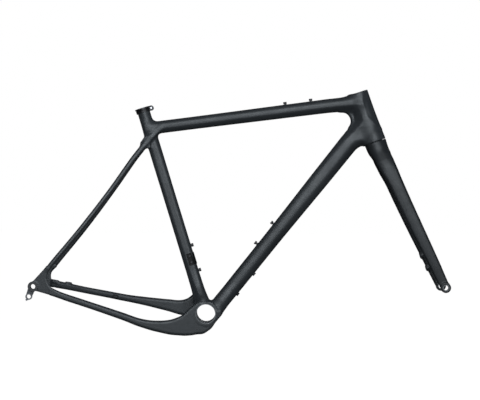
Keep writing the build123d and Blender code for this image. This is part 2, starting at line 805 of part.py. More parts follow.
with BuildPart() as lower_bearing_seal:
    ring(steering_up, lower_bearing_bottom + seal_thickness, lower_bearing_bottom + 2 * seal_thickness,
         lower_seal_outer, lower_seal_inner)

# ---- fork ---------------------------------------------------------------------------------------

steerer_bottom = -25.0
steerer_top = head_tube_length - 0.8
crown_top = -seam_gap / 2
crown_bottom = 52.0
wheel_arch_radius = 29.0
wheel_arch_height = 36.0
blade_wall = 1.8

crown_stations = [
    (-crown_top, 0, 0, 54.6, 54.6, 27.2),
    (20.0, 0, 0.3, 61.0, 52.6, 25.0),
    (38.0, 0, 2.7, 84.0, 49.0, 20.0),
    (crown_bottom, 0, 4.4, 94.0, 46.0, 18.0),
]

blade_stations = [
    (crown_bottom, 37.5, 4.4, 19.0, 46.0),
    (72.0, 40.5, 7.2, 18.5, 42.0),
    (110.0, 43.5, 11.5, 17.5, 39.5),
    (158.0, 46.5, 17.6, 16.5, 38.0),
    (238.0, 50.5, 26.0, 15.0, 32.4),
    (325.0, 54.0, 36.5, 13.0, 28.5),
    (384.0, 55.5, 43.0, 10.6, 25.2),
]

with BuildPart() as steerer_tube:
    with BuildSketch(steering_side):
        with BuildLine():
            Polyline(
                (steerer_bore_radius, steerer_bottom),
                (steerer_base_radius, steerer_bottom),
                (steerer_base_radius, lower_bearing_top + 1),
                (steerer_radius, 60.0),
                (steerer_radius, steerer_top),
                (steerer_bore_radius, steerer_top),
                (steerer_bore_radius, steerer_bottom),
            )
        make_face()
    revolve(axis=Axis(crown_seat, steering_axis))

with BuildPart() as fork_crown:
    crown_sections = []
    for depth_down, side, forward, width, depth, radius in crown_stations:
        with BuildSketch(steering_down.offset(depth_down)) as crown_section:
            with Locations((side, forward)):
                RectangleRounded(width, depth, radius)
        crown_sections.append(crown_section.sketch)
    loft(crown_sections)
    with BuildSketch(steering_front.offset(-40.0)):
        with Locations((0, -wheel_arch_height - wheel_arch_radius)):
            Circle(wheel_arch_radius)
    extrude(amount=90.0, mode=Mode.SUBTRACT)
    turned(steering_up, steerer_bottom, 1.0, steerer_base_radius, mode=Mode.SUBTRACT)

with BuildPart() as crown_race:
    ring(steering_up, crown_top, lower_bearing_bottom, lower_inner_radius + race_thickness, steerer_base_radius)

with BuildPart() as compression_ring:
    ring(steering_up, upper_bearing_bottom, upper_bearing_top, upper_inner_radius, steerer_radius)
    ring(steering_up, upper_bearing_top, upper_bearing_top + 1.0, upper_inner_radius + 1.6, steerer_radius)

# Brake bosses on the rear of the brake-side blade
boss_heights = (307.4, 307.4 + caliper_spacing)
boss_radius = 4.6
boss_bore_radius = 2.5
boss_length = 11.0
boss_side = 54.0
boss_backs = (18.4, 22.4)
boss_planes = [
    Plane(
        origin=crown_seat - steering_axis * height + steering_forward * back + SIDE * boss_side,
        x_dir=SIDE,
        z_dir=steering_forward * -1,
    )
    for height, back in zip(boss_heights, boss_backs)
]
drive_tip_plane = Plane(origin=front_axle, x_dir=(1, 0, 0), z_dir=SIDE * -1)
brake_tip_plane = Plane(origin=front_axle, x_dir=(1, 0, 0), z_dir=SIDE)
fork_end_inner = front_hub_spacing / 2
fork_end_outer = fork_end_inner + fork_end_thickness
fork_bush_radius = 8.0


def fork_blade(side, tip_plane):
    """One fork blade, hollow down to the brake bosses, with a round end for the axle."""
    stations = mirrored(blade_stations, side)
    rounded_loft(steering_down, stations)
    rounded_loft(steering_down, stations[:-2], inset=blade_wall, mode=Mode.SUBTRACT)
    turned(tip_plane, fork_end_inner, fork_end_outer, fork_end_radius)
    turned(tip_plane, fork_end_inner - 4, fork_end_outer + 4, fork_bush_radius, mode=Mode.SUBTRACT)


with BuildPart() as fork_blade_drive:
    fork_blade(-1, drive_tip_plane)

with BuildPart() as fork_blade_brake:
    fork_blade(1, brake_tip_plane)
    for boss in boss_planes:
        turned(boss, -boss_length - 1, 6.0, boss_radius, mode=Mode.SUBTRACT)

with BuildPart() as fork_caliper_inserts:
    for boss in boss_planes:
        ring(boss, -boss_length, 0.0, boss_radius, boss_bore_radius)

with BuildPart() as fork_end_insert_drive:
    ring(drive_tip_plane, fork_end_inner, fork_end_outer, fork_bush_radius, axle_radius)

with BuildPart() as fork_end_insert_brake:
    ring(brake_tip_plane, fork_end_inner, fork_end_outer, fork_bush_radius, axle_radius)

# ---- export -------------------------------------------------------------------------------------

pieces = {
    "head_tube": head_tube,
    "top_tube": top_tube,
    "down_tube": down_tube,
    "seat_tube": seat_tube,
    "bottom_bracket_shell": bottom_bracket_shell,
    "bottom_bracket_sleeve": bottom_bracket_sleeve,
    "chainstay_drive": chainstay_drive,
    "chainstay_brake": chainstay_brake,
    "seatstay_drive": seatstay_drive,
    "seatstay_brake": seatstay_brake,
    "seatstay_bridge": seatstay_bridge,
    "dropout_drive": dropout_drive,
    "dropout_brake": dropout_brake,
    "derailleur_hanger": derailleur_hanger,
    "hanger_nut": hanger_nut,
    "rear_axle_insert": rear_axle_insert,
    "seat_clamp": seat_clamp,
    "seat_clamp_bolt": seat_clamp_bolt,
    "seat_clamp_nut": seat_clamp_nut,
    "top_tube_inserts": top_tube_inserts,
    "top_tube_bolts": top_tube_bolts,
    "down_tube_inserts": down_tube_inserts,
    "down_tube_bolts": down_tube_bolts,
    "underside_inserts": underside_inserts,
    "underside_bolts": underside_bolts,
    "seat_tube_inserts": seat_tube_inserts,
    "seat_tube_bolts": seat_tube_bolts,
    "front_derailleur_cover": front_derailleur_cover,
    "cover_screws": cover_screws,
    "hose_grommet": hose_grommet,
    "rear_caliper_inserts": rear_caliper_inserts,
    "upper_bearing_outer_race": upper_bearing_outer_race,
    "lower_bearing_outer_race": lower_bearing_outer_race,
    "upper_bearing_seal": upper_bearing_seal,
    "lower_bearing_seal": lower_bearing_seal,
    "fork_crown": fork_crown,
    "fork_blade_drive": fork_blade_drive,
    "fork_blade_brake": fork_blade_brake,
    "steerer_tube": steerer_tube,
    "crown_race": crown_race,
    "compression_ring": compression_ring,
    "upper_bearing_inner_race": upper_bearing_inner_race,
    "lower_bearing_inner_race": lower_bearing_inner_race,
    "fork_end_insert_drive": fork_end_insert_drive,
    "fork_end_insert_brake": fork_end_insert_brake,
    "fork_caliper_inserts": fork_caliper_inserts,
    "upper_bearing_balls": upper_bearing_balls,
    "upper_bearing_cage": upper_bearing_cage,
    "lower_bearing_balls": lower_bearing_balls,
    "lower_bearing_cage": lower_bearing_cage,
}

os.makedirs("parts", exist_ok=True)
for label, piece in pieces.items():
    piece.part.label = label
    export_step(piece.part, f"parts/{label}.step")
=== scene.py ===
import json
from math import atan2, cos, pi, radians, sin, sqrt

import bmesh
import bpy
import numpy as np
from mathutils import Matrix, Vector


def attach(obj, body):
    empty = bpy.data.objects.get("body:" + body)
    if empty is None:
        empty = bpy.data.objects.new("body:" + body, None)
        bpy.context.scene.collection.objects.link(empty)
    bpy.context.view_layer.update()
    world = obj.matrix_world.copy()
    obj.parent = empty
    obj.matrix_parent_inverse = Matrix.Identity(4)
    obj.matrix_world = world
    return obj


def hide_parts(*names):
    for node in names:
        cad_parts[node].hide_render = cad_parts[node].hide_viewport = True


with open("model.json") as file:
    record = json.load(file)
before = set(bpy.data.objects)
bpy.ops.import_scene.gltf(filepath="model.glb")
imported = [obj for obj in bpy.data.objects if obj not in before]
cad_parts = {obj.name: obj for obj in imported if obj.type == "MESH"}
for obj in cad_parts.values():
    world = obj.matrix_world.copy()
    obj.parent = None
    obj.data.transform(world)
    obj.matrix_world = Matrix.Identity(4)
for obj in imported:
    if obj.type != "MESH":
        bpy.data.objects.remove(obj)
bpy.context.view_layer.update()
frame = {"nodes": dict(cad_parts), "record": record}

# The carbon skins are worked out in millimetres and turned into metres when their meshes are made.
MM = 0.001

# ---- lines of the frame, as in the CAD source ----------------------------------------------------

head_angle = 71.0
seat_tube_angle = 72.7
top_tube_angle = 7.45
down_tube_angle = 51.45
seatstay_angle = 52.1
brake_pad_angle = 8.9
fork_length = 394.0
fork_offset = 45.0
head_tube_bottom = 0.3
head_tube_length = 129.0
dropout_middle = 75.5

SIDE = np.array((0.0, 1.0, 0.0))
head_slope = radians(head_angle)
steer = np.array((-cos(head_slope), 0.0, sin(head_slope)))
ahead = np.array((sin(head_slope), 0.0, cos(head_slope)))
rear_axle = np.array((-419.5, 0.0, 67.0))
front_axle = np.array((587.3, 0.0, 67.0))
crown_seat = front_axle + steer * fork_length - ahead * fork_offset


def slope_axes(degrees):
    """The direction along a tube in the middle plane and the direction across it."""
    a = radians(degrees)
    return np.array((cos(a), 0.0, sin(a))), np.array((-sin(a), 0.0, cos(a)))


seat_along, seat_across = slope_axes(180 - seat_tube_angle)
top_along, top_across = slope_axes(top_tube_angle)
down_along, down_across = slope_axes(down_tube_angle)
stay_along, stay_across = slope_axes(seatstay_angle)
seat_foot = np.array((-2.0, 0.0, 0.0))
top_foot = np.array((-143.0, 0.0, 455.5))
down_foot = np.array((58.2, 0.0, 53.5))
stay_foot = np.array((-370.7, 0.0, 128.5))
pad_slope = radians(brake_pad_angle)
pad_along = np.array((-cos(pad_slope), 0.0, sin(pad_slope)))
pad_out = np.array((sin(pad_slope), 0.0, cos(pad_slope)))
pad_middle = np.array((-363.5, 71.5, 74.2))
pad_places = (-17.0, 17.0)

# Bores and the seats of fittings, as in the CAD source.
sleeve_radius = 25.0
lower_bearing_radius = 23.5
upper_bearing_radius = 20.9
lower_bearing_top = 9.3
upper_bearing_bottom = 120.8
steerer_way_radius = 17.5
seatpost_radius = 13.6
seatpost_ledge = 328.0
seat_lower_bore_radius = 12.6
rear_bush_radius = 8.5
fork_bush_radius = 8.0
caliper_hole_radius = 4.0
boss_insert_radius = 4.6
insert_radius = 3.5
insert_flange_radius = 4.6
top_tube_bolts = (341.5, 405.5)
down_tube_bolts = (134.0, 198.0)
underside_bolts = (7.0, 71.0)
seat_tube_bolts = (106.0, 170.0)

# ---- distance fields ------------------------------------------------------------------------------


def join(a, b, k):
    """Union of two fields with a fillet of about k."""
    h = np.maximum(k - np.abs(a - b), 0.0) / k
    return np.minimum(a, b) - h * h * k * 0.25


def meet(a, b, k):
    """Intersection of two fields with an edge rounded by about k."""
    return -join(-a, -b, k)


def smooth_curve(xs, ys, at):
    """A monotone cubic through the points xs, ys."""
    xs, ys = np.asarray(xs, float), np.asarray(ys, float)
    step = np.diff(xs)
    slope = np.diff(ys) / step
    tangent = np.zeros(len(xs))
    tangent[0], tangent[-1] = slope[0], slope[-1]
    for i in range(1, len(xs) - 1):
        if slope[i - 1] * slope[i] > 0:
            w1, w2 = 2 * step[i] + step[i - 1], step[i] + 2 * step[i - 1]
            tangent[i] = (w1 + w2) / (w1 / slope[i - 1] + w2 / slope[i])
    i = np.clip(np.searchsorted(xs, at) - 1, 0, len(step) - 1)
    t = np.clip((at - xs[i]) / step[i], 0.0, 1.0)
    h = step[i]
    return (
        (1 + 2 * t) * (1 - t) ** 2 * ys[i]
        + t * (1 - t) ** 2 * h * tangent[i]
        + t * t * (3 - 2 * t) * ys[i + 1]
        + t * t * (t - 1) * h * tangent[i + 1]
    )


class Tube:
    """A tube through rounded sections. A station is its place along, then the section's sideways place,
    its place across, its width, its depth and its corner radius as a share of the smaller of the two.
    A facet cuts the section's corners: its angle above the side, its share at both ends, its edge."""

    def __init__(self, origin, along, across, stations, facets=(), cap=2.0):
        self.origin, self.along, self.across = origin, along, across
        rows = [s if len(s) == 6 else (*s, 0.42) for s in stations]
        rows.sort(key=lambda s: s[0])
        at = np.array([r[0] for r in rows])
        self.heights = np.arange(at[0], at[-1] + 1.0, 1.0)
        self.columns = [smooth_curve(at, [r[i] for r in rows], self.heights) for i in range(1, 6)]
        self.low, self.high = at[0], at[-1]
        self.facets, self.cap = facets, cap

    def __call__(self, p):
        rel = p - self.origin
        h = rel @ self.along
        place, rise, width, depth, share = (np.interp(h, self.heights, c) for c in self.columns)
        u = np.abs(rel @ SIDE - place)
        v = rel @ self.across - rise
        radius = share * np.minimum(width, depth)
        qx, qy = u - width / 2 + radius, np.abs(v) - depth / 2 + radius
        d = np.hypot(np.maximum(qx, 0), np.maximum(qy, 0)) + np.minimum(np.maximum(qx, qy), 0) - radius
        t = np.clip((h - self.low) / (self.high - self.low), 0, 1)
        for angle, first, last, edge in self.facets:
            c, s = cos(radians(angle)), sin(radians(angle))
            reach = (first + (last - first) * t) * (width / 2 * c + depth / 2 * abs(s))
            d = meet(d, u * c + v * s - reach, edge)
        ends = np.abs(h - (self.low + self.high) / 2) - (self.high - self.low) / 2
        return meet(d, ends, self.cap)


def turned(p, origin, axis, low, high, radius, k=1.5):
    """A round bar about an axis between two heights. The radius may be a pair of heights and radii."""
    rel = p - origin
    h = rel @ axis
    rho = np.sqrt(np.maximum((rel * rel).sum(1) - h * h, 0))
    r = np.interp(h, *radius) if isinstance(radius, tuple) else radius
    return meet(rho - r, np.abs(h - (low + high) / 2) - (high - low) / 2, k)


def outline(p, corners):
    """Signed distance to a closed outline in the XZ plane."""
    x, z = p[:, 0], p[:, 2]
    c = np.asarray(corners, float)
    best = np.full(len(p), 1e18)
    inside = np.zeros(len(p), bool)
    for i in range(len(c)):
        ax, az = c[i]
        bx, bz = c[i - 1]
        ex, ez = bx - ax, bz - az
        wx, wz = x - ax, z - az
        t = np.clip((wx * ex + wz * ez) / (ex * ex + ez * ez), 0, 1)
        best = np.minimum(best, (wx - ex * t) ** 2 + (wz - ez * t) ** 2)
        cross = (az > z) != (bz > z)
        with np.errstate(divide="ignore", invalid="ignore"):
            left = x < ex * (z - az) / (ez if ez else 1e-9) + ax
        inside ^= cross & left
    return np.where(inside, -1, 1) * np.sqrt(best)


def plate(p, corners, low, high, k=2.0):
    """An outline made thick between two places across the bike."""
    return meet(outline(p, corners), np.abs(p[:, 1] - (low + high) / 2) - (high - low) / 2, k)


def arc(start, middle, end, count=9):
    """Points of the arc through three points."""
    (ax, ay), (bx, by), (cx, cy) = start, middle, end
    d = 2 * (ax * (by - cy) + bx * (cy - ay) + cx * (ay - by))
    a2, b2, c2 = ax * ax + ay * ay, bx * bx + by * by, cx * cx + cy * cy
    ux = (a2 * (by - cy) + b2 * (cy - ay) + c2 * (ay - by)) / d
    uy = (a2 * (cx - bx) + b2 * (ax - cx) + c2 * (bx - ax)) / d
    r = sqrt((ax - ux) ** 2 + (ay - uy) ** 2)
    a0 = atan2(ay - uy, ax - ux)
    turn = [(atan2(y - uy, x - ux) - a0 + pi) % (2 * pi) - pi for x, y in (middle, end)]
    last = turn[1] if turn[0] * turn[1] > 0 else turn[1] - 2 * pi * (1 if turn[1] > 0 else -1)
    turns = [a0 + last * i / (count - 1) for i in range(count)]
    return [(ux + r * cos(a), uy + r * sin(a)) for a in turns]


# ---- the frame's skin -----------------------------------------------------------------------------

head_heights = [head_tube_bottom, 15.0, 30.0, 52.0, 75.0, 100.0, head_tube_length]
head_radii = [27.6, 26.8, 26.0, 24.9, 24.1, 23.7, 23.5]
head_profile = (head_heights, head_radii)

top_tube = Tube(top_foot, top_along, top_across, [
    (-8, 0, 0, 31, 31), (80, 0, 0, 36, 30.5), (300, 0, 0, 38, 32.4), (440, 0, 0, 40, 34),
    (478, 0, -1.0, 42, 35), (500, 0, -1.1, 44, 39.8), (530, 0, -2, 46, 44),
], facets=[(-40, 0.78, 0.72, 3.0), (50, 0.92, 0.92, 5.0)])

down_tube = Tube(down_foot, down_along, down_across, [
    (-60, 0, -0.6, 86, 39.4), (-48, 0, -0.3, 83, 38.8), (-25, 0, 0.2, 66, 38), (5, 0, 0, 54, 38.2),
    (60, 0, 0, 49, 39), (150, 0, 0, 46, 39.6), (376, 0, 0, 42, 45.8), (430, 0, 0.1, 42.5, 46.8),
    (466, 0, 0.2, 44, 47.6), (480, 0, -1.6, 45, 50.6), (490, 0, -4.8, 45.6, 57), (500, 0, -9.5, 46, 66),
    (520, 0, -9.5, 47, 66), (545, 0, -7, 46, 58),
], facets=[(12, 0.90, 0.83, 6.0), (38, 0.93, 0.69, 1.4), (-40, 0.80, 0.76, 8.0)])

seat_tube = Tube(seat_foot, seat_along, seat_across, [
    (12, 0, 0, 86, 40, 0.36), (30, 0, 0, 83, 36, 0.36), (50, 0, 0, 62, 32.6, 0.36),
    (75, 0, 0, 44, 31, 0.34), (120, 0, 0, 35, 30.4, 0.33), (300, 0, 0, 32, 30.4, 0.33),
    (420, 0, 0, 32, 31, 0.40), (470, 0, 0, 31, 31, 0.49), (528, 0, 0, 31, 31, 0.49),
], facets=[(40, 0.70, 0.92, 2.0)], cap=0.8)

# The chainstays' stations are places along X from the bottom bracket, so their rise is a height above it.
bracket = np.zeros(3)
forward = np.array((1.0, 0, 0))
upward = np.array((0, 0, 1.0))

# Its first five stations reach forward of the shell's middle, to the down tube.
drive_chainstay = Tube(bracket, forward, upward, [
    (38, -35, 3.0, 13, 15), (32, -35, -0.8, 14, 22), (23, -35, -6.5, 14, 33.4), (14, -35, -13, 14, 46),
    (8, -35, -15.4, 14, 51), (0, -35, -16.3, 14, 60.6), (-15, -35, -10.4, 15, 80.8), (-35, -35.5, -18, 15, 71),
    (-60, -37, -29.5, 16, 49.4), (-90, -39, -33.4, 17, 36), (-125, -41, -30.4, 17, 26.5),
    (-160, -43, -22.7, 17, 21), (-200, -47.5, -8, 17, 19), (-250, -54.5, 9.5, 16, 17.8),
    (-300, -62, 26.6, 15, 17.2), (-350, -70.5, 43.7, 13, 17.2), (-378, -dropout_middle, 55.2, 9, 20),
])

brake_chainstay = Tube(bracket, forward, upward, [
    (8, 35, 3, 14, 36), (-12, 35, 9, 15, 60), (-30, 35, 14.5, 15, 65), (-38, 35, 13, 15, 55),
    (-48, 35.6, 11.2, 15.6, 44.6), (-60, 37, 10.5, 16, 38.4), (-95, 39, 16.0, 17, 30.2),
    (-125, 41, 21.0, 17, 25.4), (-150, 42.5, 25.2, 17, 21.8), (-200, 47.5, 33.2, 17, 17.6),
    (-250, 54.5, 42.2, 16, 16.8), (-300, 61, 51.0, 15, 16.4), (-350, 69.5, 60.5, 14, 17.4),
    (-391, 73.5, 68.0, 13, 19.5),
])


def mirrored(stations):
    """The stations of the same tube on the other side."""
    return [(s[0], -s[1], *s[2:]) for s in stations]


# The first two stations are small, so that the stay ends inside the dropout.
stay_stations = [
    (-40, dropout_middle, 0.2, 2, 4), (-30, dropout_middle, 0.1, 5.5, 8.4), (-20, dropout_middle, 0, 9, 10.6),
    (0, 74, -0.2, 11, 11), (50, 67.5, -1.6, 11.5, 11), (100, 61, -2.6, 12, 11), (150, 53.5, -2.3, 12.3, 11),
    (200, 46, -1.2, 12.5, 11), (240, 39.8, 0.3, 12.5, 11.4), (280, 33.5, 2.6, 12.5, 12),
    (325, 25.5, 4.6, 12, 12.6), (350, 20.5, 4.6, 11.5, 13), (375, 16.5, 3.6, 11, 13.6),
    (405, 13, 1, 10, 14), (430, 9, -4, 9, 14),
]
brake_seatstay = Tube(stay_foot, stay_along, stay_across, stay_stations)
drive_seatstay = Tube(stay_foot, stay_along, stay_across, mirrored(stay_stations))


def dropout_outline(stay_x, low, high, throat_x):
    """A dropout's outline between the ends of its two stays, with a round throat."""
    end = stay_foot + stay_along * -20.0
    front, back = end - stay_across * 5.5, end + stay_across * 5.5
    first, last = (stay_x, high), (front[0], front[2])
    throat = (throat_x, (high + front[2]) / 2)
    axle_x, axle_z = rear_axle[0], rear_axle[2]
    rear = [(back[0], back[2]), (axle_x - 6, axle_z + 7), (axle_x + 6, axle_z - 11), (stay_x, low)]
    return [*rear, *arc(first, throat, last)]


drive_dropout = dropout_outline(-378.0, 46.0, 66.0, -387.0)
brake_dropout = dropout_outline(-391.0, 59.5, 77.0, -391.5)
corner_middle = np.array((332.0, 474.5))
corner_radius = 24.0
corner_sides = [(332.0, 474.5), (357.0, 454.6), (362.0, 440.0), (410.0, 440.0), (385.0, 515.0), (326.5, 515.0)]
shell_radius = 30.5
shell_half_width = 42.6
underside_out = np.array((0.777, 0.0, -0.63))
web_outline = [(-164, 407), (-138, 407), (-142, 440), (-154, 434), (-164, 420)]


def frame_field(p):
    """The frame's outer surface, filled."""
    head = turned(p, crown_seat, steer, head_tube_bottom, head_tube_length, head_profile, 1.2)
    # the filled corner behind the head tube carries the down tube's upper crease up to the top tube
    away = np.hypot(p[:, 0] - corner_middle[0], p[:, 2] - corner_middle[1]) - corner_radius
    above = np.maximum((p - down_foot) @ down_across - 6.0, 0.0)
    behind = np.maximum((crown_seat - p) @ ahead - 12.0, 0.0)
    wider = 2.0 * np.clip((p[:, 0] - 355.0) / 40.0, 0, 1)
    full = 20.0 + wider - 7.0 * np.clip((462.0 - p[:, 2]) / 20.0, 0, 1)
    flank = (np.abs(p[:, 1]) - np.maximum(full - np.minimum(0.7 * above, 0.6 * behind), 9.5)) * 0.82
    corner = meet(meet(outline(p, corner_sides), -away, 5.0), flank, 5.0)
    tops = join(top_tube(p), head, 10.0)
    lowers = meet(down_tube(p), -turned(p, crown_seat, steer, -60.0, head_tube_bottom, 29.3, 0.5), 2.0)
    body = join(join(tops, lowers, 11.0), corner, 7.0)
    body = join(body, seat_tube(p), 13.0)
    seatstays = np.minimum(brake_seatstay(p), drive_seatstay(p))
    web = plate(p, web_outline, -21.0, 21.0)
    body = join(body, join(seatstays, web, 4.0), 5.0)
    chainstays = np.minimum(brake_chainstay(p), drive_chainstay(p))
    body = join(body, chainstays, 8.0)
    shell = turned(p, bracket, SIDE, -shell_half_width, shell_half_width, shell_radius, 1.5)
    body = join(body, meet(shell, p @ underside_out - 29.0, 3.0), 1.0)
    bush = turned(p, rear_axle, SIDE, -80.0, 80.0, 11.8, 1.5)
    right_bush = np.maximum(bush, np.abs(p[:, 1] + dropout_middle) - 4.5)
    left_bush = np.maximum(bush, np.abs(p[:, 1] - dropout_middle) - 4.5)
    right = join(plate(p, drive_dropout, -80.0, -71.0), right_bush, 3.0)
    left = join(plate(p, brake_dropout, 71.0, 80.0), left_bush, 3.0)
    body = join(body, np.minimum(left, right), 3.5)
    for place in pad_places:
        rel = p - (pad_middle + pad_along * place)
        u, v, w = np.abs(rel @ SIDE) - 7.0, np.abs(rel @ pad_along) - 8.0, np.abs(rel @ pad_out + 4.3) - 4.0
        body = join(body, meet(meet(u, v, 4.0), w, 1.0), 3.0)
    return body


# ---- the fork's skin ------------------------------------------------------------------------------

crown = Tube(crown_seat, -steer, ahead, [
    (0.3, 0, 0, 54.6, 54.6, 0.495), (20, 0, 0.6, 62, 51.4, 0.47), (38, 0, 3.6, 73.5, 46.4, 0.42),
    (52, 0, 5.2, 82, 42.0, 0.40), (66, 0, 6.8, 86, 35, 0.40), (84, 0, 8.4, 82, 26, 0.40),
], cap=1.0)
blade_stations = [
    (20, 18, 3.2, 8, 24), (40, 29, 4.2, 12, 36), (54, 33.6, 5.4, 16.5, 41), (72, 38.2, 7.4, 18.5, 41.6),
    (110, 43.2, 12.2, 17.5, 36.6), (158, 46.5, 17, 16.5, 35), (238, 50.5, 26, 15, 32.4),
    (325, 54, 36.5, 13, 28.5), (388, 55.5, 43.5, 10.6, 25.2),
]
blade_facets = [(20, 0.82, 0.84, 8.0), (-20, 0.82, 0.84, 8.0)]
brake_blade = Tube(crown_seat, -steer, ahead, blade_stations, blade_facets)
drive_blade = Tube(crown_seat, -steer, ahead, mirrored(blade_stations), blade_facets)
arch_radius = 29.0
arch_middle = crown_seat - steer * 65.0
boss_side = SIDE * 54.0
boss_places = ((307.4, 18.4), (341.4, 22.4))


def fork_field(p):
    """The fork's outer surface, filled."""
    arch = turned(p, arch_middle, ahead, -200.0, 200.0, arch_radius, 1.0)
    top = meet(crown(p), -arch, 6.0)
    blades = np.minimum(brake_blade(p), drive_blade(p))
    body = join(top, blades, 8.0)
    for low, high in ((-61.0, -50.0), (50.0, 61.0)):
        body = join(body, turned(p, front_axle, SIDE, low, high, 12.5, 1.5), 4.0)
    for down, back in boss_places:
        boss = turned(p, crown_seat - steer * down + boss_side, ahead, back + 0.5, back + 9.0, 6.0, 1.5)
        body = join(body, boss, 4.0)
    return body


# ---- fields to meshes -----------------------------------------------------------------------------


def gradient(field, p):
    """The field's slope at the points, by differences over half a millimetre."""
    e = 0.25
    g = np.empty_like(p)
    for i in range(3):
        step = np.zeros(3)
        step[i] = e
        g[:, i] = (field(p + step) - field(p - step)) / (2 * e)
    return g


def skin_mesh(name, field, low, high, cell):
    """A closed mesh of the surface where the field is zero, by surface nets, then drawn onto the field."""
    block = 8
    low, high = np.asarray(low, float), np.asarray(high, float)
    blocks = np.ceil((high - low) / (cell * block)).astype(int)
    counts = blocks * block + 1
    centres = np.stack(np.meshgrid(*[np.arange(n) for n in blocks], indexing="ij"), -1).reshape(-1, 3)
    middles = low + (centres + 0.5) * cell * block
    coarse = np.concatenate([field(m) for m in np.array_split(middles, 40)])
    near = np.abs(coarse) < cell * block * 0.87 * 1.6 + 3.0
    values = np.ones(tuple(counts), np.float32)
    inside_blocks = centres[coarse < 0]
    for b in inside_blocks:
        x, y, z = b * block
        values[x : x + block + 1, y : y + block + 1, z : z + block + 1] = -1.0
    local = np.stack(np.meshgrid(*[np.arange(block + 1)] * 3, indexing="ij"), -1).reshape(-1, 3)
    for group in np.array_split(centres[near], max(1, int(near.sum()) // 400)):
        index = (group[:, None, :] * block + local[None]).reshape(-1, 3)
        values[tuple(index.T)] = field(low + index * cell)
    solid = values < 0
    corners = [(i, j, k) for i in (0, 1) for j in (0, 1) for k in (0, 1)]
    shape = tuple(n - 1 for n in solid.shape)
    total = np.zeros(shape, np.int8)
    for i, j, k in corners:
        total += solid[i : i + shape[0], j : j + shape[1], k : k + shape[2]]
    active = (total > 0) & (total < 8)
    cells = np.argwhere(active)
    number = np.full(shape, -1, np.int64)
    number[tuple(cells.T)] = np.arange(len(cells))
    spot = np.zeros((len(cells), 3))
    hits = np.zeros(len(cells))
    for axis in range(3):
        for a in (0, 1):
            for b in (0, 1):
                start = np.zeros(3, int)
                others = [q for q in range(3) if q != axis]
                start[others[0]], start[others[1]] = a, b
                end = start.copy()
                end[axis] = 1
                va, vb = values[tuple((cells + start).T)], values[tuple((cells + end).T)]
                cross = (va < 0) != (vb < 0)
                t = np.where(cross, va / np.where(cross, va - vb, 1), 0)
                point = start + t[:, None] * (end - start)
                spot += np.where(cross[:, None], point, 0)
                hits += cross
    verts = low + (cells + spot / hits[:, None]) * cell
    faces = []
    for axis in range(3):
        u, v = (axis + 1) % 3, (axis + 2) % 3
        first = [slice(1, -1)] * 3
        second = [slice(1, -1)] * 3
        first[axis], second[axis] = slice(0, -1), slice(1, None)
        a, b = solid[tuple(first)], solid[tuple(second)]
        edges = np.argwhere(a != b)
        offset = np.ones(3, int)
        offset[axis] = 0
        edges = edges + offset
        ring = []
        for du, dv in ((0, 0), (-1, 0), (-1, -1), (0, -1)):
            c = edges.copy()
            c[:, u] += du
            c[:, v] += dv
            ring.append(number[tuple(c.T)])
        quad = np.stack(ring, 1)
        flip = ~solid[tuple(edges.T)]
        quad[flip] = quad[flip][:, ::-1]
        faces.append(quad)
    faces = np.concatenate(faces)
    links = np.concatenate([faces[:, [0, 1]], faces[:, [1, 2]], faces[:, [2, 3]], faces[:, [3, 0]]])
    for turn in range(4):
        g = gradient(field, verts)
        square = (g * g).sum(1)
        verts = verts - g * (np.clip(field(verts), -1.5, 1.5) / np.maximum(square, 0.05))[:, None]
        if turn < 3:
            mean = np.zeros_like(verts)
            count = np.zeros(len(verts))
            for x, y in ((0, 1), (1, 0)):
                np.add.at(mean, links[:, x], verts[links[:, y]])
                np.add.at(count, links[:, x], 1)
            pull = mean / count[:, None] - verts
            n = g / np.sqrt(np.maximum(square, 1e-9))[:, None]
            verts = verts + 0.5 * (pull - n * (pull * n).sum(1)[:, None])
    mesh = bpy.data.meshes.new(name)
    mesh.vertices.add(len(verts))
    mesh.vertices.foreach_set("co", (verts * MM).astype(np.float32).ravel())
    mesh.loops.add(len(faces) * 4)
    mesh.loops.foreach_set("vertex_index", faces.astype(np.int32).ravel())
    mesh.polygons.add(len(faces))
    mesh.polygons.foreach_set("loop_start", np.arange(len(faces), dtype=np.int32) * 4)
    mesh.update(calc_edges=True)
    mesh.validate()
    piece = bpy.data.objects.new(name, mesh)
    bpy.context.scene.collection.objects.link(piece)
    return piece


def lathe(bm, origin, axis, profile, sides=64):
    """A closed round solid about an axis, through pairs of height and radius."""
    axis = Vector(axis).normalized()
    u = axis.orthogonal().normalized()
    v = axis.cross(u)
    origin = Vector(origin)
    rings = []
    for height, radius in profile:
        ring = []
        for i in range(sides):
            a = 2 * pi * i / sides
            ring.append(bm.verts.new((origin + axis * height + (u * cos(a) + v * sin(a)) * radius) * MM))
        rings.append(ring)
    for low, high in zip(rings, rings[1:]):
        for i in range(sides):
            j = (i + 1) % sides
            bm.faces.new((low[i], low[j], high[j], high[i]))
    bm.faces.new(list(reversed(rings[0])))
    bm.faces.new(rings[-1])


def as_piece(name, bm):
    mesh = bpy.data.meshes.new(name)
    bmesh.ops.recalc_face_normals(bm, faces=bm.faces)
    bm.to_mesh(mesh)
    bm.free()
    piece = bpy.data.objects.new(name, mesh)
    bpy.context.scene.collection.objects.link(piece)
    return piece


def carve(piece, cutter):
    """Cuts the cutter's volume out of a piece and deletes the cutter."""
    cut = piece.modifiers.new("cut", "BOOLEAN")
    cut.operation, cut.solver, cut.object = "DIFFERENCE", "MANIFOLD", cutter
    graph = bpy.context.evaluated_depsgraph_get()
    done = bpy.data.meshes.new_from_object(piece.evaluated_get(graph), depsgraph=graph)
    old = piece.data
    piece.modifiers.clear()
    piece.data = done
    done.name = old.name
    bpy.data.meshes.remove(old)
    bpy.data.objects.remove(cutter)
    if len(done.polygons) == 0:
        raise RuntimeError(piece.name + " was cut away")


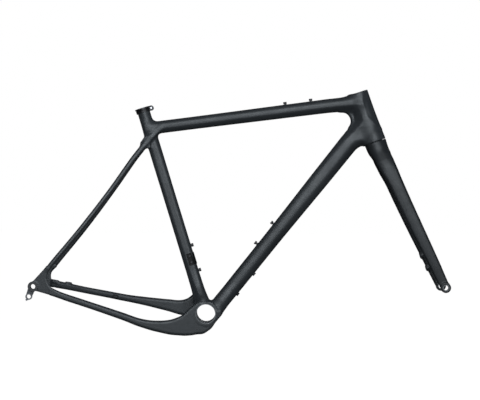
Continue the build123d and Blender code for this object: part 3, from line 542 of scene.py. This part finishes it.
def soften(piece, degrees=38):
    """Smooth shading, except across edges sharper than the angle."""
    piece.data.shade_smooth()
    piece.data.set_sharp_from_angle(angle=radians(degrees))


def fitting(bm, origin, along, across, height, rise):
    """The seat of a threaded insert: a hole and a flat facing round it."""
    out = across if rise > 0 else -across
    place = origin + along * height + across * rise
    hole = [(-12.0, insert_radius), (0.0, insert_radius)]
    lathe(bm, place, out, [*hole, (0.0, insert_flange_radius), (9.0, insert_flange_radius)], 40)


frame_skin = skin_mesh("frame_skin", frame_field, (-440, -90, -62), (446, 90, 566), 2.2)
bm = bmesh.new()
lathe(bm, bracket, SIDE, [(-60, sleeve_radius), (60, sleeve_radius)], 96)
lathe(bm, crown_seat, steer, [
    (-6, lower_bearing_radius), (lower_bearing_top, lower_bearing_radius),
    (lower_bearing_top, steerer_way_radius), (upper_bearing_bottom, steerer_way_radius),
    (upper_bearing_bottom, upper_bearing_radius), (135, upper_bearing_radius),
], 96)
lathe(bm, seat_foot, seat_along, [
    (40.0, seat_lower_bore_radius), (seatpost_ledge, seat_lower_bore_radius),
    (seatpost_ledge, seatpost_radius), (540.0, seatpost_radius),
], 72)
lathe(bm, rear_axle, SIDE, [(-90, rear_bush_radius), (-60, rear_bush_radius)], 56)
lathe(bm, rear_axle, SIDE, [(60, rear_bush_radius), (90, rear_bush_radius)], 56)
for height in top_tube_bolts:
    fitting(bm, top_foot, top_along, top_across, height, 16.4)
for height in down_tube_bolts:
    fitting(bm, down_foot, down_along, down_across, height, 20.0)
for height in underside_bolts:
    fitting(bm, down_foot, down_along, down_across, height, -19.2)
for place in pad_places:
    ends = [(-40, caliper_hole_radius), (8, caliper_hole_radius)]
    lathe(bm, pad_middle + pad_along * place, pad_out, ends, 40)
carve(frame_skin, as_piece("cutters", bm))
# the bottle holes and the collar's slot open into bores that the first cutter has already made
bm = bmesh.new()
for height in seat_tube_bolts:
    fitting(bm, seat_foot, seat_along, seat_across, height, -15.2)
slot_turn = Matrix((tuple(SIDE), tuple(seat_across), tuple(seat_along))).transposed().to_quaternion()
slot_middle = Vector((seat_foot + seat_along * 514.0 + seat_across * 15.5) * MM)
slot_size = Vector((1.6 * MM, 9.0 * MM, 36.0 * MM))
bmesh.ops.create_cube(bm, size=1.0, matrix=Matrix.LocRotScale(slot_middle, slot_turn, slot_size))
carve(frame_skin, as_piece("cutters", bm))
soften(frame_skin)

fork_skin = skin_mesh("fork_skin", fork_field, (382, -68, 48), (606, 68, 442), 1.6)
bm = bmesh.new()
lathe(bm, crown_seat, steer, [(-25.0, 16.5), (6, 16.5)], 64)
for side in (-1, 1):
    low, high = sorted((side * 44.0, side * 70.0))
    lathe(bm, front_axle, SIDE, [(low, fork_bush_radius), (high, fork_bush_radius)], 56)
for down, back in boss_places:
    ends = [(back - 6.0, boss_insert_radius), (back + 11.0, boss_insert_radius)]
    lathe(bm, crown_seat - steer * down + boss_side, ahead, ends, 40)
carve(fork_skin, as_piece("cutters", bm))
soften(fork_skin)

# ---- materials ------------------------------------------------------------------------------------


def material(name):
    """A new material with a Principled shader, its node tree and the shader."""
    m = bpy.data.materials.new(name)
    m.use_nodes = True
    tree = m.node_tree
    tree.nodes.clear()
    out = tree.nodes.new("ShaderNodeOutputMaterial")
    shader = tree.nodes.new("ShaderNodeBsdfPrincipled")
    tree.links.new(shader.outputs[0], out.inputs[0])
    return m, tree, shader


def ramp(tree, source, stops):
    """A colour ramp on a value. A stop is its place and a grey or a colour."""
    node = tree.nodes.new("ShaderNodeValToRGB")
    while len(node.color_ramp.elements) < len(stops):
        node.color_ramp.elements.new(0.5)
    for element, (at, value) in zip(node.color_ramp.elements, stops):
        element.position = at
        element.color = (*value, 1.0) if isinstance(value, tuple) else (value, value, value, 1.0)
    tree.links.new(source, node.inputs[0])
    return node.outputs[0]


def noise(tree, scale, detail, stretch=None, turn=None):
    """Noise fixed to the object."""
    coords = tree.nodes.new("ShaderNodeTexCoord")
    place = tree.nodes.new("ShaderNodeMapping")
    if stretch:
        place.inputs["Scale"].default_value = stretch
    if turn:
        place.inputs["Rotation"].default_value = turn
    node = tree.nodes.new("ShaderNodeTexNoise")
    node.inputs["Scale"].default_value = scale
    node.inputs["Detail"].default_value = detail
    tree.links.new(coords.outputs["Object"], place.inputs[0])
    tree.links.new(place.outputs[0], node.inputs["Vector"])
    return node.outputs["Fac"]


def mixed(tree, factor, a, b):
    """A mix of two colours, each a socket or a plain colour."""
    node = tree.nodes.new("ShaderNodeMix")
    node.data_type = "RGBA"
    for socket, value in ((node.inputs[0], factor), (node.inputs[6], a), (node.inputs[7], b)):
        if isinstance(value, bpy.types.NodeSocket):
            tree.links.new(value, socket)
        elif isinstance(value, tuple):
            socket.default_value = (*value, 1.0)
        else:
            socket.default_value = value
    return node.outputs[2]


def bumped(tree, shader, heights):
    """Bump nodes in a row, each with its strength and distance in metres."""
    last = None
    for source, strength, distance in heights:
        node = tree.nodes.new("ShaderNodeBump")
        node.inputs["Strength"].default_value = strength
        node.inputs["Distance"].default_value = distance
        tree.links.new(source, node.inputs["Height"])
        if last is not None:
            tree.links.new(last, node.inputs["Normal"])
        last = node.outputs[0]
    tree.links.new(last, shader.inputs["Normal"])


def edge_wear(tree, low, high):
    """0 to 1 from flat ground to the sharpest edges."""
    geometry = tree.nodes.new("ShaderNodeNewGeometry")
    return ramp(tree, geometry.outputs["Pointiness"], [(low, 0.0), (high, 1.0)])


def shades(colour, low, high):
    """A darker and a lighter shade of a colour, no brighter than white."""
    return tuple(c * low for c in colour), tuple(min(1.0, c * high) for c in colour)


def carbon(name, dark, light, fleck, gloss):
    """Matt clear coat over carbon: slow tone changes, fine fibre along the tubes and small bright flecks."""
    m, tree, shader = material(name)
    broad = ramp(tree, noise(tree, 9.0, 4.0), [(0.3, dark), (0.72, light)])
    fibre = noise(tree, 260.0, 2.0, stretch=(0.16, 1.0, 1.0), turn=(0.0, 0.75, 0.0))
    toned = mixed(tree, ramp(tree, fibre, [(0.35, 0.0), (0.75, 0.35)]), broad, fleck)
    grains = ramp(tree, noise(tree, 900.0, 1.0), [(0.68, 0.0), (0.84, 0.12)])
    toned = mixed(tree, grains, toned, tuple(min(1.0, c * 1.8) for c in fleck))
    toned = mixed(tree, edge_wear(tree, 0.56, 0.64), toned, tuple(min(1.0, c * 1.7) for c in light))
    tree.links.new(toned, shader.inputs["Base Color"])
    rough = ramp(tree, noise(tree, 38.0, 5.0), [(0.25, 0.42), (0.75, 0.52)])
    tree.links.new(rough, shader.inputs["Roughness"])
    shader.inputs["Specular IOR Level"].default_value = gloss
    shader.inputs["Specular Tint"].default_value = (0.93, 0.97, 1.0, 1.0)
    bumped(tree, shader, [(noise(tree, 620.0, 2.0), 0.015, 0.0004), (noise(tree, 30.0, 3.0), 0.08, 0.0006)])
    return m


def alloy(name, colour, roughness, metallic=1.0, wear=None):
    """Anodised or machined metal with fine turning marks, smudges and worn edges."""
    m, tree, shader = material(name)
    darker, lighter = shades(colour, 0.82, 1.12)
    tone = ramp(tree, noise(tree, 70.0, 4.0), [(0.3, darker), (0.7, lighter)])
    worn = wear or tuple(min(1.0, c * 1.6 + 0.05) for c in colour)
    tone = mixed(tree, edge_wear(tree, 0.54, 0.62), tone, worn)
    tree.links.new(tone, shader.inputs["Base Color"])
    shader.inputs["Metallic"].default_value = metallic
    marks = noise(tree, 420.0, 2.0, stretch=(1.0, 0.1, 1.0))
    rough = ramp(tree, marks, [(0.3, max(0.05, roughness - 0.08)), (0.7, roughness + 0.08)])
    tree.links.new(rough, shader.inputs["Roughness"])
    bumped(tree, shader, [(marks, 0.12, 0.0002)])
    return m


def moulded(name, colour, roughness, grain, depth):
    """Moulded plastic or rubber with a pebbled surface."""
    m, tree, shader = material(name)
    darker, lighter = shades(colour, 0.75, 1.3)
    tone = ramp(tree, noise(tree, 120.0, 4.0), [(0.3, darker), (0.7, lighter)])
    tree.links.new(tone, shader.inputs["Base Color"])
    rough = ramp(tree, noise(tree, 200.0, 3.0), [(0.3, roughness - 0.08), (0.7, roughness + 0.08)])
    tree.links.new(rough, shader.inputs["Roughness"])
    shader.inputs["Specular IOR Level"].default_value = 0.25
    bumped(tree, shader, [(noise(tree, grain, 2.0), 0.6, depth)])
    return m


finishes = {
    "carbon": carbon("carbon_finish", (0.019, 0.022, 0.025), (0.028, 0.032, 0.036), (0.046, 0.052, 0.057), 0.6),
    "fork_carbon": carbon(
        "fork_carbon_finish", (0.010, 0.0115, 0.013), (0.016, 0.018, 0.0205), (0.027, 0.031, 0.034), 0.45,
    ),
    "dark_alloy": alloy("dark_alloy_finish", (0.012, 0.013, 0.014), 0.55, 0.5, wear=(0.16, 0.17, 0.18)),
    "silver_alloy": alloy("silver_alloy_finish", (0.085, 0.090, 0.097), 0.50, 0.9, wear=(0.20, 0.21, 0.22)),
    "black_alloy": alloy("black_alloy_finish", (0.008, 0.0085, 0.0095), 0.42, 0.5, wear=(0.06, 0.063, 0.068)),
    "black_steel": alloy("black_steel_finish", (0.007, 0.007, 0.0075), 0.45, 0.5, wear=(0.05, 0.05, 0.055)),
    "bright_steel": alloy("bright_steel_finish", (0.34, 0.34, 0.35), 0.36),
    "bearing_steel": alloy("bearing_steel_finish", (0.60, 0.60, 0.62), 0.20),
    "cover_plastic": moulded("cover_plastic_finish", (0.006, 0.0065, 0.007), 0.6, 900.0, 0.0005),
    "cage_plastic": moulded("cage_plastic_finish", (0.30, 0.10, 0.04), 0.45, 700.0, 0.0001),
    "rubber": moulded("rubber_finish", (0.014, 0.014, 0.014), 0.7, 800.0, 0.0002),
}

slots = {row["node"]: row["material_slot"] for row in frame["record"]["subparts"]}
for node, piece in frame["nodes"].items():
    piece.data.materials.clear()
    piece.data.materials.append(finishes[slots[node]])
    soften(piece, 32)

frame_skin.data.materials.clear()
frame_skin.data.materials.append(finishes["carbon"])
fork_skin.data.materials.clear()
fork_skin.data.materials.append(finishes["fork_carbon"])
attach(frame_skin, "frame")
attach(fork_skin, "fork")
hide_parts("head_tube", "top_tube", "down_tube", "seat_tube", "bottom_bracket_shell", "chainstay_drive",
            "chainstay_brake", "seatstay_drive", "seatstay_brake", "seatstay_bridge", "dropout_drive", "dropout_brake")
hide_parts("fork_crown", "fork_blade_drive", "fork_blade_brake")

# ---- floor, light and camera ----------------------------------------------------------------------

floor_height = -0.36
bm = bmesh.new()
bmesh.ops.create_grid(bm, x_segments=40, y_segments=40, size=30.0)
for vert in bm.verts:
    vert.co.z = floor_height
floor = as_piece("floor", bm)
m, tree, shader = material("floor_finish")
tree.links.new(ramp(tree, noise(tree, 1.2, 3.0), [(0.3, 0.05), (0.7, 0.07)]), shader.inputs["Base Color"])
shader.inputs["Roughness"].default_value = 0.9
shader.inputs["Emission Color"].default_value = (1.0, 1.0, 1.0, 1.0)
shader.inputs["Emission Strength"].default_value = 1.0
floor.data.materials.append(m)
floor.visible_diffuse = False
floor.visible_glossy = False

world = bpy.data.worlds.new("studio")
world.use_nodes = True
bpy.context.scene.world = world
nodes, links = world.node_tree.nodes, world.node_tree.links
nodes.clear()
out = nodes.new("ShaderNodeOutputWorld")
shown, fill, choice, path = (nodes.new(k) for k in (
    "ShaderNodeBackground", "ShaderNodeBackground", "ShaderNodeMixShader", "ShaderNodeLightPath"))
shown.inputs[0].default_value = (1.0, 1.0, 1.0, 1.0)
shown.inputs[1].default_value = 1.0
fill.inputs[0].default_value = (0.92, 0.96, 1.0, 1.0)
fill.inputs[1].default_value = 0.035
links.new(path.outputs["Is Camera Ray"], choice.inputs[0])
links.new(fill.outputs[0], choice.inputs[1])
links.new(shown.outputs[0], choice.inputs[2])
links.new(choice.outputs[0], out.inputs[0])


middle = (0.08, 0.0, 0.25)
slate = (0.93, 0.97, 1.0)


def softbox(name, place, width, height, watts, shine):
    """A soft light aimed at the middle of the bike. Without shine it doesn't show in glossy surfaces."""
    data = bpy.data.lights.new(name, "AREA")
    data.shape, data.size, data.size_y, data.energy, data.color = "RECTANGLE", width, height, watts, slate
    light = bpy.data.objects.new(name, data)
    bpy.context.scene.collection.objects.link(light)
    light.location = place
    light.rotation_euler = (Vector(middle) - Vector(place)).to_track_quat("-Z", "Y").to_euler()
    light.visible_camera = False
    light.visible_glossy = shine


softbox("key", (0.3, -3.4, 1.4), 3.0, 1.5, 98.0, True)
softbox("back", (0.1, 3.4, 0.9), 2.6, 1.7, 160.0, False)
softbox("front_side", (3.4, 0.2, 1.0), 1.2, 1.2, 24.0, False)
softbox("rear_side", (-3.4, 0.2, 1.0), 1.2, 1.2, 24.0, False)
softbox("above", (0.1, 0.0, 3.4), 1.6, 1.6, 8.0, False)

camera = bpy.data.objects.new("camera", bpy.data.cameras.new("camera"))
bpy.context.scene.collection.objects.link(camera)
camera.data.lens = 136.3
camera.data.sensor_width = 36.0
camera.data.clip_end = 100.0
camera.location = (0.0828, -4.5, 0.2796)
level, upright = Matrix.Rotation(-radians(0.267), 3, "Y"), Matrix.Rotation(radians(90.0), 3, "X")
camera.rotation_euler = (level @ upright).to_euler()
bpy.context.scene.camera = camera
bpy.context.scene.view_settings.view_transform = "Standard"
bpy.context.scene.view_settings.look = "None"
